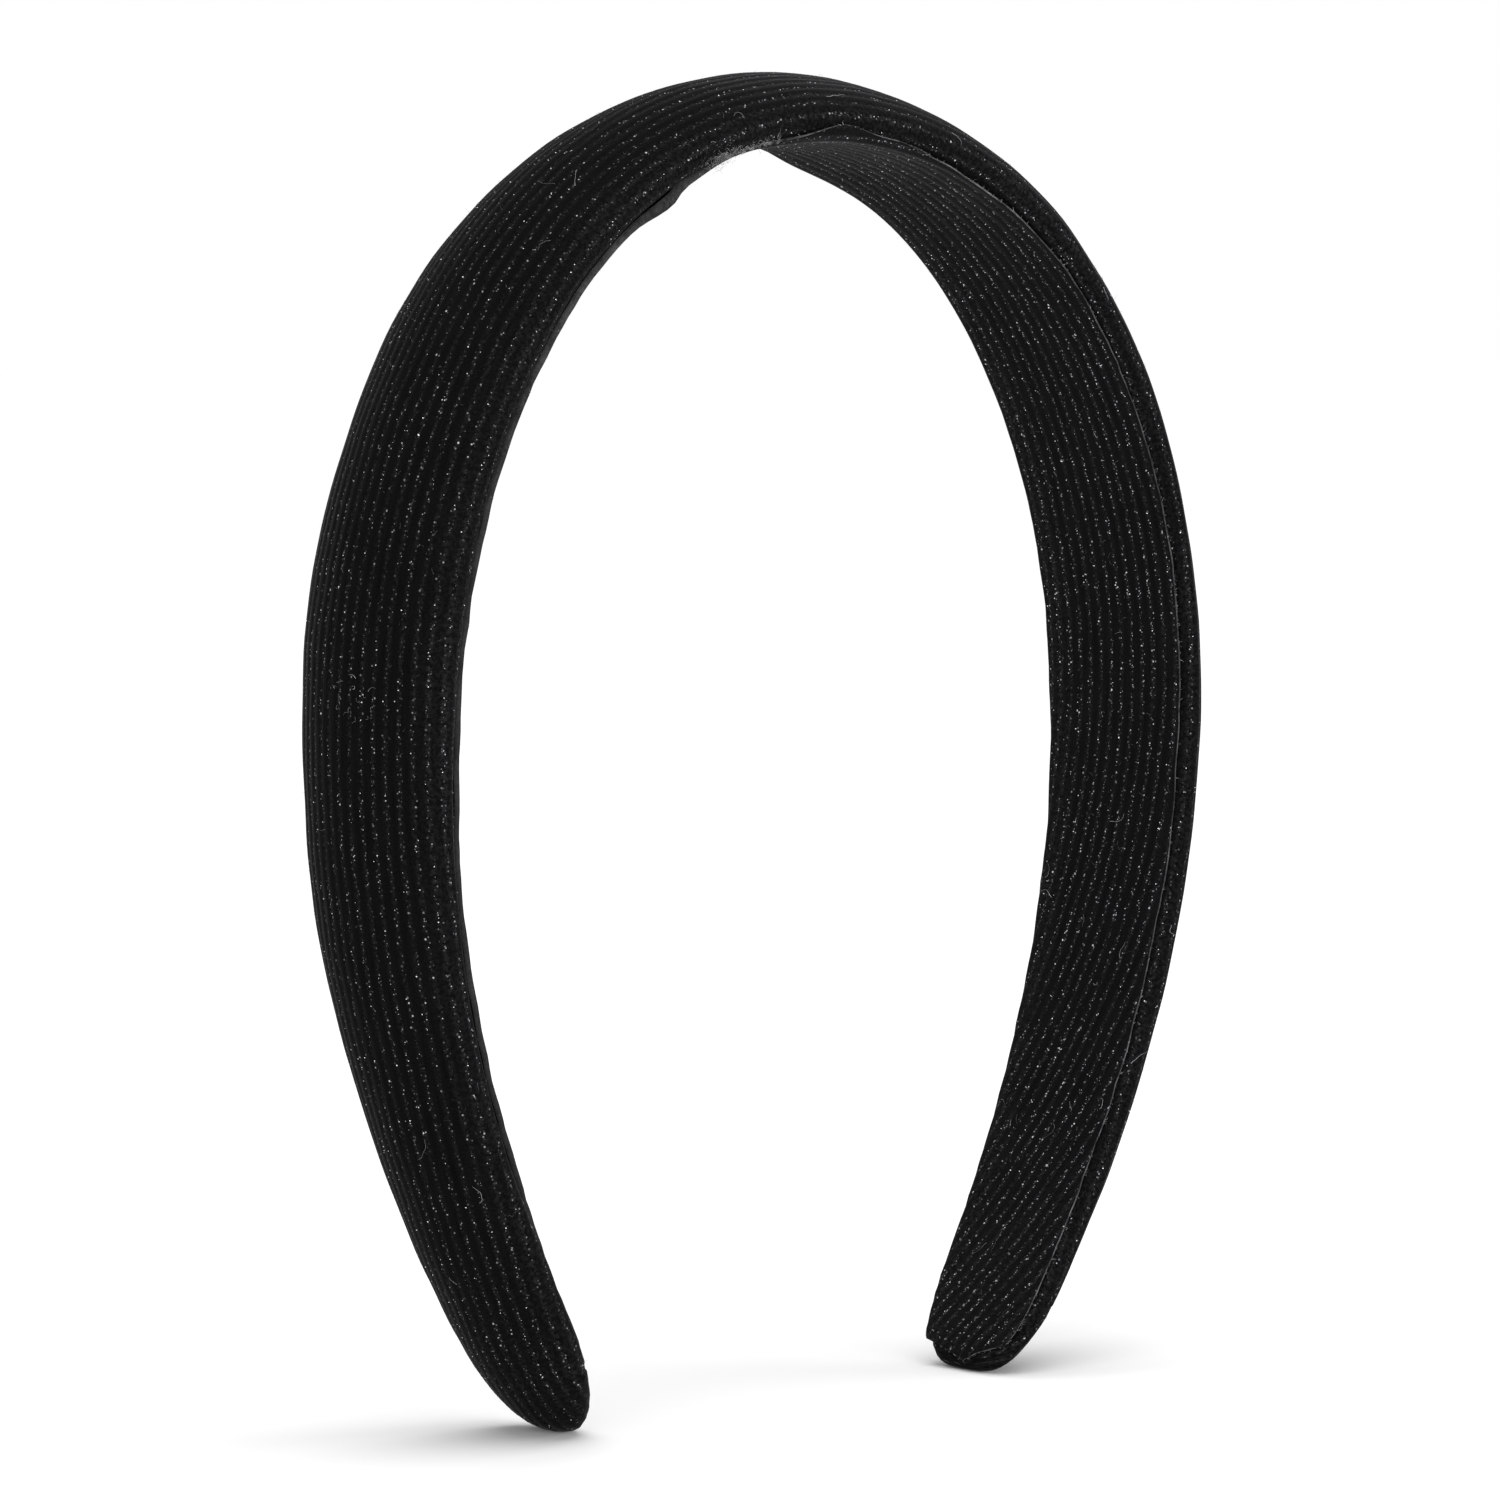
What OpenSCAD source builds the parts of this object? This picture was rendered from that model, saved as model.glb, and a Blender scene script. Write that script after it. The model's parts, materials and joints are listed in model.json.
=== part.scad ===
// Padded headband: a springy plastic hoop with a foam pad on its outside, wrapped in ribbed
// velvet whose edges turn under and are glued to the hoop's inner face, closed by a velvet lining.
// It stands upright on its two tips: X across the head, Y front (-) to back (+), Z up.
// Distances along the hoop are measured from the middle of the crown; v is the height of a layer
// above the hoop's inner face, positive away from the head. All lengths are in mm.

/* [Hoop line] */
// Radius of the hoop's inner face over the crown
crown_r = 55; // [52:1:58]
// Half the angle that the crown arc covers
crown_angle = 54; // [50:1:56]
// Radius of the shoulder arc
shoulder_r = 80.5; // [76:0.5:85]
// Angle of the shoulder arc
shoulder_angle = 31; // [29:1:33]
// Radius of the side arc
side_r = 114; // [108:1:120]
// Angle of the side arc
side_angle = 21; // [19:1:23]
// Radius of the arc that runs out to the tip
tip_r = 163; // [150:1:180]
// Angle of the arc that runs out to the tip
tip_angle = 19.5; // [17:0.5:22]

/* [Padded section] */
// Overall width at the crown
crown_w = 26.6; // [24:0.2:30]
// Overall width where the end begins to round
tip_w = 18; // [16:0.2:20]
// How late the width falls away towards the tips
taper_power = 2.2; // [1.6:0.1:3]
// Height of the padded top above the hoop's inner face, at the crown
crown_h = 6.4; // [5.6:0.2:8]
// The same height near the tips
tip_h = 5.6; // [5.2:0.2:6.4]
// Fullness of the dome: 2 is an ellipse, less is more like a shallow arc
dome_power = 1.7; // [1.6:0.05:2.2]
// Layer height at which the section is widest
widest_v = 1.2; // [1:0.1:1.5]
// Length over which each end rounds off in plan
end_run = 16; // [14:1:20]
// Squareness of the rounded end: 2 is an ellipse
end_power = 2.9; // [2.4:0.1:3.4]
// Depth that the soft tip squashes flat where it stands
tip_squash = 0.5; // [0.3:0.05:0.7]

/* [Spring band] */
// Thickness of the plastic band
band_t = 1.6; // [1.4:0.1:1.8]
// Width of the plastic band at the crown
band_crown_w = 20.4; // [18:0.2:21]
// Width of the plastic band where its end rounds off
band_tip_w = 12; // [11:0.2:12.6]
// Gap from the end of the band to the end of the cover
band_short = 4.4; // [4.2:0.1:6]

/* [Cloth] */
// Thickness of the velvet
cloth_t = 0.7; // [0.6:0.05:0.8]
// Width of the cover's turned-under edge at the crown
turn_crown = 7; // [6.5:0.5:8]
// Width of the cover's turned-under edge near the tips
turn_tip = 6.4; // [6.2:0.1:6.8]
// Gap from the tip to where the two turned-under edges meet
turn_closed = 11; // [10:1:14]
// How far the lining's cut edge lies in from the widest line
lining_inset = 0.9; // [0.8:0.1:1.6]
// Gap from the tip to the point of the lining's end
lining_short = 2.2; // [2:0.1:6]
// How far the lining's corners lie back from that point
lining_point = 2.4; // [0:0.2:3]

/* [Adhesives] */
// Thickness of the film under the pad
tape_t = 0.15; // [0.1:0.01:0.2]
// Thickness of the beads under the turned edges
bead_t = 0.15; // [0.1:0.01:0.2]
// Thickness of the film over the turned edges
film_t = 0.1; // [0.08:0.01:0.15]

/* [Hidden] */
$fn = 72;

fit_gap = 0.1;     // foam to cloth
edge_gap = 0.2;    // foam to the band's edges, and film to the turned edges
wing_min = 0.3;    // narrowest flat on the foam's underside
lip = 0.1;         // rise from that flat to the channel's edge
foam_short = 2;    // foam's end to the cover's end
tape_inset = 0.8;  // tape in from the band's edge
bead_inset = 0.6;  // bead in from the turned edge and from the band's edge
roll_w = 2;        // how far in from the widest line the underside is flat
under_run = 4;     // length over which the underside rounds up at the tip
step_s = 4.8;      // spacing of the rings along the hoop
end_rings = 7;     // rings in each rounded end
last_turn = 80;    // how far round the end's curve the last ring lies, in degrees

// The hoop's line is a chain of tangent arcs on each side of the crown.
arc_a = [crown_angle, shoulder_angle, side_angle, tip_angle];
arc_r = [crown_r, shoulder_r, side_r, tip_r];
function arc_start(i) = i == 0 ? [0, 0, 0, 0] :
    let (q = arc_start(i - 1), a = arc_a[i - 1], r = arc_r[i - 1])
    [q[0] + r * a * PI / 180, q[1] + a,
     q[2] + r * (sin(q[1] + a) - sin(q[1])), q[3] - r * (cos(q[1]) - cos(q[1] + a))];
starts = [for (i = [0 : len(arc_a)]) arc_start(i)];
half_len = starts[4][0];
function arc_at(s) = s >= starts[3][0] ? 3 : s >= starts[2][0] ? 2 : s >= starts[1][0] ? 1 : 0;

// [x, z, heading] of the inner face's line at s, negative on the wearer's right
function line_at(s) =
    let (m = abs(s), i = arc_at(m), q = starts[i], p = q[1] + (m - q[0]) / arc_r[i] * 180 / PI)
    [sign(s) * (q[2] + arc_r[i] * (sin(p) - sin(q[1]))),
     q[3] - arc_r[i] * (cos(q[1]) - cos(p)), sign(s) * p];
function hung(s, y, v) = let (c = line_at(s)) [c[0] + sin(c[2]) * v, y, c[1] + cos(c[2]) * v];

// Layer heights
under_v = -(bead_t + cloth_t);
film_v = under_v - film_t;
lining_v = film_v - cloth_t;

function wide(s) = tip_w + (crown_w - tip_w) * (1 - pow(min(abs(s) / half_len, 1), taper_power));
function high(s) = tip_h + (crown_h - tip_h) * (1 - min(abs(s) / half_len, 1));
function into_end(s, reach, run) = min(max((abs(s) - (reach - run)) / run, 0), 1);
function plan_at(s, reach) = pow(1 - pow(into_end(s, reach, end_run), end_power), 1 / end_power);
function rise_at(s, reach, run) = sqrt(1 - pow(into_end(s, reach, run), 2));
function bent(c, power) = sign(c) * pow(abs(c), 2 / power);

// One layer of cloth or foam around the band, from one turned edge over the top to the other.
// inset is how far it lies inside the cover's outer face.
dome_n = 14;
roll_n = 3;
path_n = dome_n + 1 + 2 * (roll_n + 1);
function half_w(s, inset) = (wide(s) / 2 - inset) * plan_at(s, half_len - inset);
function turned_edge(s) =
    let (a = wide(s) / 2 - turn_tip - (turn_crown - turn_tip) * (1 - abs(s) / half_len))
    max(min(a, half_w(s, 0) * 0.4), 0.6);
function envelope(s, inset, floor_v, edge) =
    let (reach = half_len - inset, a = half_w(s, inset), top = high(s) - inset,
         up = rise_at(s, reach, end_run), low = rise_at(s, reach, under_run),
         roll = min(roll_w - 0.6 * inset, a * 0.45), e = min(edge, a - roll - 0.1),
         floor_h = widest_v - (widest_v - floor_v) * low)
    [[-e, floor_h],
     for (k = [0 : roll_n - 1]) let (t = 90 * (1 - k / roll_n))
         [-(a - roll + roll * cos(t)), widest_v - (widest_v - floor_v) * sin(t) * low],
     for (k = [0 : dome_n]) let (t = 180 - 180 * k / dome_n)
         [a * bent(cos(t), dome_power),
          widest_v + (top - widest_v) * bent(sin(t), dome_power) * up],
     for (k = [roll_n - 1 : -1 : 0]) let (t = 90 * (1 - k / roll_n))
         [a - roll + roll * cos(t), widest_v - (widest_v - floor_v) * sin(t) * low],
     [e, floor_h]];

// Ring positions along the hoop: even over the arch, closer round the ends.
function half_stations(reach, run) =
    let (n = ceil((reach - run) / step_s))
    [for (k = [0 : n]) k * (reach - run) / n,
     for (k = [1 : end_rings]) reach - run + run * sin(last_turn * k / end_rings)];
function both_ways(list) =
    [for (k = [len(list) - 1 : -1 : 1]) -list[k], for (s = list) s];

// The tips are the lowest points, so the arch is lifted until they stand at z = 0.
cover_stations = both_ways(half_stations(half_len, end_run));
tip_low = min([for (k = [0 : 2 * end_rings])
    for (p = envelope(cover_stations[k], 0, under_v, 1)) hung(cover_stations[k], p[0], p[1])[2]]);
lift = -(tip_low + tip_squash);
function at(s, y, v) = let (p = hung(s, y, v)) [p[0], p[1], max(p[2] + lift, 0)];
function ring(s, path) = [for (p = path) at(s, p[0], p[1])];

// Triangles between two neighbouring rows of points, row b following row a
function strip(a, b, m) =
    [for (j = [0 : m - 2]) each [[a + j, a + j + 1, b + j], [a + j + 1, b + j + 1, b + j]]];
function flipped(faces) = [for (f = faces) [f[0], f[2], f[1]]];
// A closed loop of points filled from the one halfway along it
function fan(a, m) = let (h = floor(m / 2))
    [for (k = [1 : m - 2]) [a + h, a + (h + k + 1) % m, a + (h + k) % m]];

// A solid between an outer and an inner path, both with m points, swept along the stations
module swept(outer, inner) {
    n = len(outer);
    m = len(outer[0]);
    points = [for (r = outer) each r, for (r = inner) each r];
    half = n * m;
    faces = [
        for (i = [0 : n - 2]) each strip(i * m, (i + 1) * m, m),
        for (i = [0 : n - 2]) each flipped(strip(half + i * m, half + (i + 1) * m, m)),
        for (i = [0 : n - 2]) let (a = i * m, b = half + i * m)
            each [[a, a + m, b], [a + m, b + m, b],
                  [a + m - 1, b + m - 1, a + 2 * m - 1],
                  [a + 2 * m - 1, b + m - 1, b + 2 * m - 1]],
        each strip(half, 0, m),
        each flipped(strip(half + (n - 1) * m, (n - 1) * m, m))];
    polyhedron(points = points, faces = faces, convexity = 6);
}

// The band and the tape follow the arcs exactly, at constant thickness.
module arch_strip(v, t, short) {
    for (i = [0 : 3]) {
        q = starts[i];
        trim = i == 3 ? short / tip_r * 180 / PI : 0;
        sweep_a = arc_a[i] - trim;
        for (side = i == 0 ? [0] : [0, 1])
            mirror([side, 0, 0])
                translate([q[2] - arc_r[i] * sin(q[1]), 0, q[3] - arc_r[i] * cos(q[1]) + lift])
                    rotate([90, 0, 0])
                        rotate_extrude(angle = i == 0 ? 2 * sweep_a : sweep_a,
                                start = 90 - q[1] - sweep_a)
                            translate([arc_r[i] + v, -crown_w / 2])
                                square([t, crown_w]);
    }
}

// Half the band's width at a share t of its height, 0 at the round end's centre and 1 at the crown
function band_share(t, crown, tip) = crown - (crown - tip) * pow(1 - t, 2);

// Front view of the band: sides that draw in towards round ends
module band_plan(inset, end_z) {
    end_r = band_tip_w / 2 - inset;
    full = band_crown_w / 2 - inset;
    low_z = end_z + end_r;
    shares = [0 : 0.2 : 1];
    side = [for (t = shares) [band_share(t, full, end_r), low_z + t * (lift + crown_h - low_z)]];
    other = [for (k = [len(side) - 1 : -1 : 0]) [-side[k][0], side[k][1]]];
    rotate([90, 0, 90])
        linear_extrude(height = 4 * crown_r, center = true)
            union() {
                polygon(concat(side, other));
                translate([0, low_z])
                    circle(r = end_r);
            }
}

function band_half(s) =
    let (low_z = line_at(half_len - band_short)[1] + lift + band_tip_w / 2,
         t = (line_at(s)[1] + lift - low_z) / (lift + crown_h - low_z))
    band_share(max(t, 0), band_crown_w / 2, band_tip_w / 2);

module spring_band() color([0.10, 0.10, 0.11])
    intersection() {
        arch_strip(0, band_t, band_short);
        band_plan(0, line_at(half_len - band_short)[1] + lift);
    }

module pad_tape() color([0.86, 0.84, 0.78])
    intersection() {
        arch_strip(band_t, tape_t, band_short + tape_inset);
        band_plan(tape_inset, line_at(half_len - band_short - tape_inset)[1] + lift);
    }

// Half the width of the foam's channel, which takes the band
function channel(s, inset) =
    min(band_half(s) + edge_gap, half_w(s, inset) * 0.55 - 0.1, half_w(s, inset) - roll_w - wing_min);

// The foam bulges down past the band's edges, so its underside is a channel.
module foam_pad() color([0.93, 0.92, 0.88]) {
    inset = cloth_t + fit_gap;
    reach = half_len - foam_short;
    roof = band_t + tape_t;
    along = half_stations(half_len - inset, end_run - inset);
    stations = both_ways([for (s = along) if (s < reach - 0.3) s, reach]);
    outer = [for (s = stations) ring(s, envelope(s, inset, 0, channel(s, inset) + wing_min))];
    inner = [for (s = stations)
        let (b = channel(s, inset), floor_h = envelope(s, inset, 0, b)[0][1] + lip)
        ring(s, [[-b, floor_h],
            for (k = [0 : path_n - 3]) [b * (2 * k / (path_n - 3) - 1), roof],
            [b, floor_h]])];
    swept(outer, inner);
}

// The cover is closed round both tips; between them its two edges leave a long slot underneath.
module outer_cover() color([0.04, 0.04, 0.045]) {
    m = path_n;
    slot_end = half_len - turn_closed;
    stations = cover_stations;
    n = len(stations);
    slot = [for (i = [0 : n - 1]) if (abs(stations[i]) <= slot_end) i];
    first = slot[0];
    last = slot[len(slot) - 1];
    stretch = (half_len - cloth_t * 1.2 - stations[last]) / (half_len - stations[last]);
    lined = [for (i = [0 : n - 1]) i >= first && i <= last ? stations[i] :
        sign(stations[i]) * (stations[last] + (abs(stations[i]) - stations[last]) * stretch)];
    outer = [for (s = stations) ring(s, envelope(s, 0, under_v, turned_edge(s)))];
    inner = [for (i = [0 : n - 1]) ring(lined[i],
        envelope(lined[i], cloth_t, under_v + cloth_t, turned_edge(stations[i])))];
    half = n * m;
    points = [for (r = outer) each r, for (r = inner) each r];
    faces = [
        for (i = [0 : n - 2]) each strip(i * m, (i + 1) * m, m),
        for (i = [0 : n - 2]) each flipped(strip(half + i * m, half + (i + 1) * m, m)),
        for (i = [0 : n - 2]) let (a = i * m, b = half + i * m)
            each i >= first && i < last ?
                [[a, a + m, b], [a + m, b + m, b],
                 [a + m - 1, b + m - 1, a + 2 * m - 1],
                 [a + 2 * m - 1, b + m - 1, b + 2 * m - 1]] :
                [[a + m - 1, a, a + 2 * m - 1], [a, a + m, a + 2 * m - 1],
                 [b + m - 1, b + 2 * m - 1, b], [b, b + 2 * m - 1, b + m]],
        let (a = first * m, b = half + a)
            each [[a, b, a + m - 1], [b, b + m - 1, a + m - 1]],
        let (a = last * m, b = half + a)
            each [[a, a + m - 1, b], [b, a + m - 1, b + m - 1]],
        each fan(0, m),
        each flipped(fan((n - 1) * m, m)),
        each flipped(fan(half, m)),
        each fan(half + (n - 1) * m, m)];
    polyhedron(points = points, faces = faces, convexity = 8);
}

// A bead between a turned edge and the band; side is -1 at the front and 1 at the back.
module glue_line(side) color([0.82, 0.78, 0.64]) {
    stations = both_ways(half_stations(half_len - turn_closed, end_run));
    path = [for (s = stations)
        let (a = turned_edge(s) + bead_inset, b = band_half(s) - bead_inset)
        side > 0 ? [a, b] : [-b, -a]];
    outer = [for (i = [0 : len(stations) - 1]) ring(stations[i], [for (y = path[i]) [y, 0]])];
    inner = [for (i = [0 : len(stations) - 1]) ring(stations[i], [for (y = path[i]) [y, -bead_t]])];
    swept(outer, inner);
}
module front_glue_line() glue_line(-1);
module rear_glue_line() glue_line(1);

// The film lies over both turned edges and fills the slot between them up to the band.
module lining_glue() color([0.84, 0.80, 0.68]) {
    stations = both_ways(half_stations(half_len - turn_closed - edge_gap, end_run));
    outer = [for (s = stations) let (w = half_w(s, 0) - roll_w - edge_gap, g = turned_edge(s) - edge_gap)
        ring(s, [[-w, under_v], [-g, under_v], [-g + 0.02, 0], [g - 0.02, 0], [g, under_v], [w, under_v]])];
    inner = [for (s = stations) let (w = half_w(s, 0) - roll_w - edge_gap, g = turned_edge(s) - edge_gap)
        ring(s, [for (y = [-w, -g, -g + 0.02, g - 0.02, g, w]) [y, film_v]])];
    swept(outer, inner);
}

// The lining runs a little further than the film and ends in a blunt point short of each tip.
function set_back(s, reach) = sign(s) * lining_point * pow(into_end(s, reach, end_run), 2);
function lining_rows(v) =
    let (reach = half_len - lining_short, columns = [-1 : 0.25 : 1])
    [for (s = both_ways(half_stations(reach, end_run)))
        [for (c = columns)
            let (t = s - set_back(s, reach) * abs(c))
            at(t, c * (half_w(t, 0) - lining_inset), v)]];
module inner_lining() color([0.05, 0.05, 0.055])
    swept(lining_rows(film_v), lining_rows(lining_v));

spring_band();
pad_tape();
foam_pad();
outer_cover();
front_glue_line();
rear_glue_line();
lining_glue();
inner_lining();
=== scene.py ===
"""Looks of a padded headband in ribbed glitter velvet, built around its CAD frame.

The hoop stands on its tips: X across the head, Y from the front edge to the back edge, Z up.
Distances along the hoop (s) run from the middle of the crown, positive towards +X.
A layer's height (v) is measured outward from the spring band's inner face.
Lengths in the working functions are millimetres; meshes are written in metres.
"""

import json
import math
import random
from types import SimpleNamespace

import bmesh
import bpy
import numpy as np
from bpy.props import FloatProperty, FloatVectorProperty, IntProperty, PointerProperty
from bpy.types import Operator, Panel, PropertyGroup
from mathutils import Matrix, Vector, noise


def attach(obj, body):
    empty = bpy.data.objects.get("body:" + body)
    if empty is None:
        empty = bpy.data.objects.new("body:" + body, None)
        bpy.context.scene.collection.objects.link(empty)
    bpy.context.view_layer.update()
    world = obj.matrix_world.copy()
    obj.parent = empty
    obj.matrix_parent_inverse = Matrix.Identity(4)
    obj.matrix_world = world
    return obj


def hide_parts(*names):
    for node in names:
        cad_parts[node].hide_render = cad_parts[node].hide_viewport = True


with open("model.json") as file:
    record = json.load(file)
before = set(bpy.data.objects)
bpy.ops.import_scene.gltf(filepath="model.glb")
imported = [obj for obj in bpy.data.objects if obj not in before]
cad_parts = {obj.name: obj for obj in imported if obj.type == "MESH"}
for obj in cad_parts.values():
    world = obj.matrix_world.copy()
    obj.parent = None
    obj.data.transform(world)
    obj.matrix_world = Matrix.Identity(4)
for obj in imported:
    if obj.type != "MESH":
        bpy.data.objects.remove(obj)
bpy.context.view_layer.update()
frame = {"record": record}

bl_info = {
    "name": "Ribbed velvet headband",
    "version": (1, 0, 0),
    "blender": (4, 5, 0),
    "location": "3D View > Sidebar > Headband",
    "description": "Builds the cloth, lining, glitter, lint and stage of a padded headband",
    "category": "Object",
}

MM = 0.001
SEAT_Z = next(m for m in frame["record"]["mounts"] if m["name"] == "head_seat")["pos_m"][2] / MM


# ---------------------------------------------------------------- settings

class HoopSettings(PropertyGroup):
    crown_r: FloatProperty(name="Crown radius", description="Inner face radius over the crown",
        default=0.055, unit="LENGTH")
    shoulder_r: FloatProperty(name="Shoulder radius", description="Radius of the shoulder arc",
        default=0.0805, unit="LENGTH")
    side_r: FloatProperty(name="Side radius", description="Radius of the side arc",
        default=0.114, unit="LENGTH")
    tip_r: FloatProperty(name="Tip radius", description="Radius of the arc to the tip",
        default=0.163, unit="LENGTH")
    crown_w: FloatProperty(name="Crown width", description="Overall width at the crown",
        default=0.0266, unit="LENGTH")
    tip_w: FloatProperty(name="Tip width", description="Overall width where the end rounds",
        default=0.018, unit="LENGTH")
    crown_h: FloatProperty(name="Crown height", description="Top of the pad above the band",
        default=0.0069, unit="LENGTH")
    tip_h: FloatProperty(name="Tip height", description="Top of the pad near the tips",
        default=0.0056, unit="LENGTH")


class ClothSettings(PropertyGroup):
    thickness: FloatProperty(name="Cloth thickness", description="Velvet with its pile",
        default=0.0007, unit="LENGTH")
    pitch: FloatProperty(name="Rib pitch", description="Distance between two grooves",
        default=0.00185, unit="LENGTH")
    groove: FloatProperty(name="Groove depth", description="Depth between two ribs",
        default=0.0001, unit="LENGTH")
    pile: FloatVectorProperty(name="Pile colour", description="Black of the pile", subtype="COLOR",
        size=3, min=0, max=1, default=(0.0025, 0.0025, 0.0027))
    ground: FloatVectorProperty(name="Groove colour", description="Grey of the knitted ground in the grooves",
        subtype="COLOR", size=3, min=0, max=1, default=(0.0105, 0.0105, 0.011))
    # Grey haze colour: partly pile wear, partly painted sheen where the surface turns away at edges, tips and
    # crown.
    rubbed_and_sheen: FloatVectorProperty(name="Rubbed pile colour",
        description="Grey haze where the pile is rubbed at edges", subtype="COLOR",
        size=3, min=0, max=1, default=(0.026, 0.026, 0.0268))
    # Pale glitter yarn; its brightness also stands in for glints, as painted highlights.
    speck_and_glint: FloatVectorProperty(name="Speck colour", description="Glitter yarn", subtype="COLOR",
        size=3, min=0, max=1, default=(0.62, 0.62, 0.64))
    raw_edge: FloatVectorProperty(name="Cut edge colour", description="Backing at the lining's cut edge",
        subtype="COLOR", size=3, min=0, max=1, default=(0.19, 0.19, 0.195))


class TrimSettings(PropertyGroup):
    flakes_cover: IntProperty(name="Flakes on the cover", description="Glitter on the outside", default=2300)
    flakes_lining: IntProperty(name="Flakes on the lining", description="Bright glitter inside", default=3500)
    flake_r: FloatProperty(name="Flake radius", description="Usual radius of a flake",
        default=6.8e-05, unit="LENGTH")
    edge_hairs: IntProperty(name="Edge hairs", description="Frayed ends along the cut edge", default=1500)
    tuft_hairs: IntProperty(name="Tuft hairs", description="Hairs of the tuft under the crown", default=420)
    lint: IntProperty(name="Lint", description="Stray fibres on the pile", default=70)
    down: IntProperty(name="Down", description="Tiny curled hairs that stand out of the pile", default=2600)


class StageSettings(PropertyGroup):
    azimuth: FloatProperty(name="Azimuth", description="Camera's turn about Z",
        default=math.radians(-41.27), subtype="ANGLE")
    elevation: FloatProperty(name="Elevation", description="Camera's height angle",
        default=math.radians(4.2), subtype="ANGLE")
    distance: FloatProperty(name="Distance", description="Camera to the point it aims at",
        default=0.8085, unit="LENGTH")
    aim_z: FloatProperty(name="Aim height", description="Height of the point it aims at",
        default=0.0795, unit="LENGTH")
    aside: FloatProperty(name="Aim aside", description="Sideways move of the camera",
        default=-0.00235, unit="LENGTH")
    lens: FloatProperty(name="Lens", description="Focal length on a 36 mm sensor",
        default=159.9, unit="CAMERA")
    surround: FloatProperty(name="Surround", description="Strength of the light from all round", default=0.42)
    overhead: FloatProperty(name="Overhead", description="Strength of the soft light from above", default=2.2)


# ---------------------------------------------------------------- the hoop's shape

ARC_DEG = (54.0, 31.0, 21.0, 19.5)  # the arcs from the crown to a tip
END_RUN = 16.0  # length of the rounded end, and how square it is
END_POWER = 2.9
ROUND_END_RUN = 14.5  # the same at the -X tip, and at its front
ROUND_END_POWER = 2.3
FRONT_END_POWER = 2.0
TAPER = 2.2  # how late the width falls off towards the tips
DOME = 1.7  # how square the dome's section is
WIDEST_V = 1.2
BEAD = 0.15
FILM = 0.1
ROLL_W = 2.0
UNDER_RUN = 4.0  # the inner face curves up over this length at each tip
TURN_CROWN = 7.0  # width turned under at the crown, at the tips, and where the slot closes
TURN_TIP = 6.4
TURN_CLOSED = 11.0
LINING_SHORT = 0.7  # the lining stops this far before the cover
LINING_POINT = 2.6  # depth of its blunt point, and where across it the point lies
POINT_AT = -0.18
LINING_INSET = 0.9
TIP_SQUASH = 0.5  # the soft tips flatten by this much, below this height
SOFT_FROM = 1.5
TIP_ZONE = 20.0  # height over which the foam follows the rounder -X tip
TIP_SLOPE = 0.83
LINT_CLUMP = 18
FINE_HAIR = 0.035
COVER_COLUMNS = 156
LINING_COLUMNS = 92
ROW_STEP = 1.55
END_ROWS = 17
MERGE = 1e-6
PILE_RELIEF = 0.00012

# Uneven places of the cloth: how many millimetres, the s at its middle, how far it spreads
FULL_ARM_FRONT = (1.3, -98.0, 48.0)
FULL_TIP_FRONT = (1.5, -171.0, 17.0)
FULL_ARM_BACK = (0.2, 105.0, 50.0)
THIN_ROLL = (0.9, -105.0, 70.0)
WRAP_CROWN = (1.5, 2.0, 14.0)
WRAP_MIDDLE = (1.0, -1.0, 4.0)
LINING_ARM_BACK = (0.35, 105.0, 50.0)


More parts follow.
